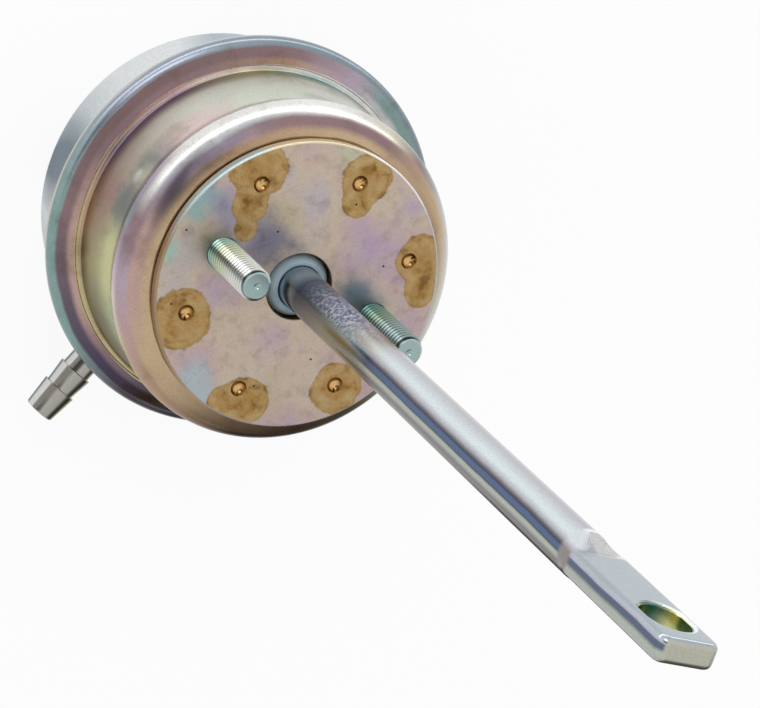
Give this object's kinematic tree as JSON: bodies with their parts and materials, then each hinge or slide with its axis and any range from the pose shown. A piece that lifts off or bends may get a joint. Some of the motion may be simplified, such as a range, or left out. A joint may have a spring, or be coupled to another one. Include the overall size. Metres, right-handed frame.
{
  "type": "wastegate actuator",
  "caption": "Turbo wastegate actuator: pressed steel pressure can with a rolled rim, mounting studs, hose barb and a sliding rod that ends in a flattened eye.",
  "frame": {"origin": "centre of the rear cap's flat rear face", "axes": "+Z along the rod, from the rear face towards the eye; +X from the rod towards the right stud"},
  "size_m": [0.0772, 0.0891, 0.201],
  "materials": {
    "clear_zinc_steel": "clear zinc plated, satin",
    "yellow_zinc_steel": "iridescent yellow zinc plated",
    "yellow_zinc_plate": "iridescent yellow zinc plated, matt",
    "stud_left_steel": "zinc plated thread",
    "stud_right_steel": "zinc plated thread",
    "grey_bush": "matt sintered grey",
    "seal_rubber": "matt black",
    "retainer_steel": "plain pressed",
    "seat_steel": "plain pressed",
    "spring_steel": "drawn and oiled",
    "diaphragm_rubber": "matt black fabric-faced",
    "plate_steel": "plain pressed",
    "piston_steel": "plain pressed",
    "washer_steel": "plain",
    "rod_steel": "smooth zinc plated",
    "nickel_brass": "bright nickel plated"
  },
  "bodies": {
    "canister": {"rear_cap": "clear_zinc_steel", "hose_barb": "nickel_brass", "front_can": "yellow_zinc_steel", "mounting_plate": "yellow_zinc_plate", "stud_left": "stud_left_steel", "stud_right": "stud_right_steel", "guide_bush": "grey_bush", "rod_seal": "seal_rubber", "bush_retainer": "retainer_steel", "spring_seat": "seat_steel", "spring": "spring_steel", "diaphragm": "diaphragm_rubber"},
    "rod_and_piston": {"rod": "rod_steel", "piston": "piston_steel", "piston_washer": "washer_steel", "diaphragm_retainer": "plate_steel"}
  },
  "joints": [
    {"name": "rod_slide", "type": "slide", "parent": "canister", "child": "rod_and_piston", "axis": [0, 0, 1], "range_m": [0, 0.012], "stiffness_N_per_m": 1900, "springref_m": -0.045, "deforming": ["spring", "diaphragm"]}
  ]
}
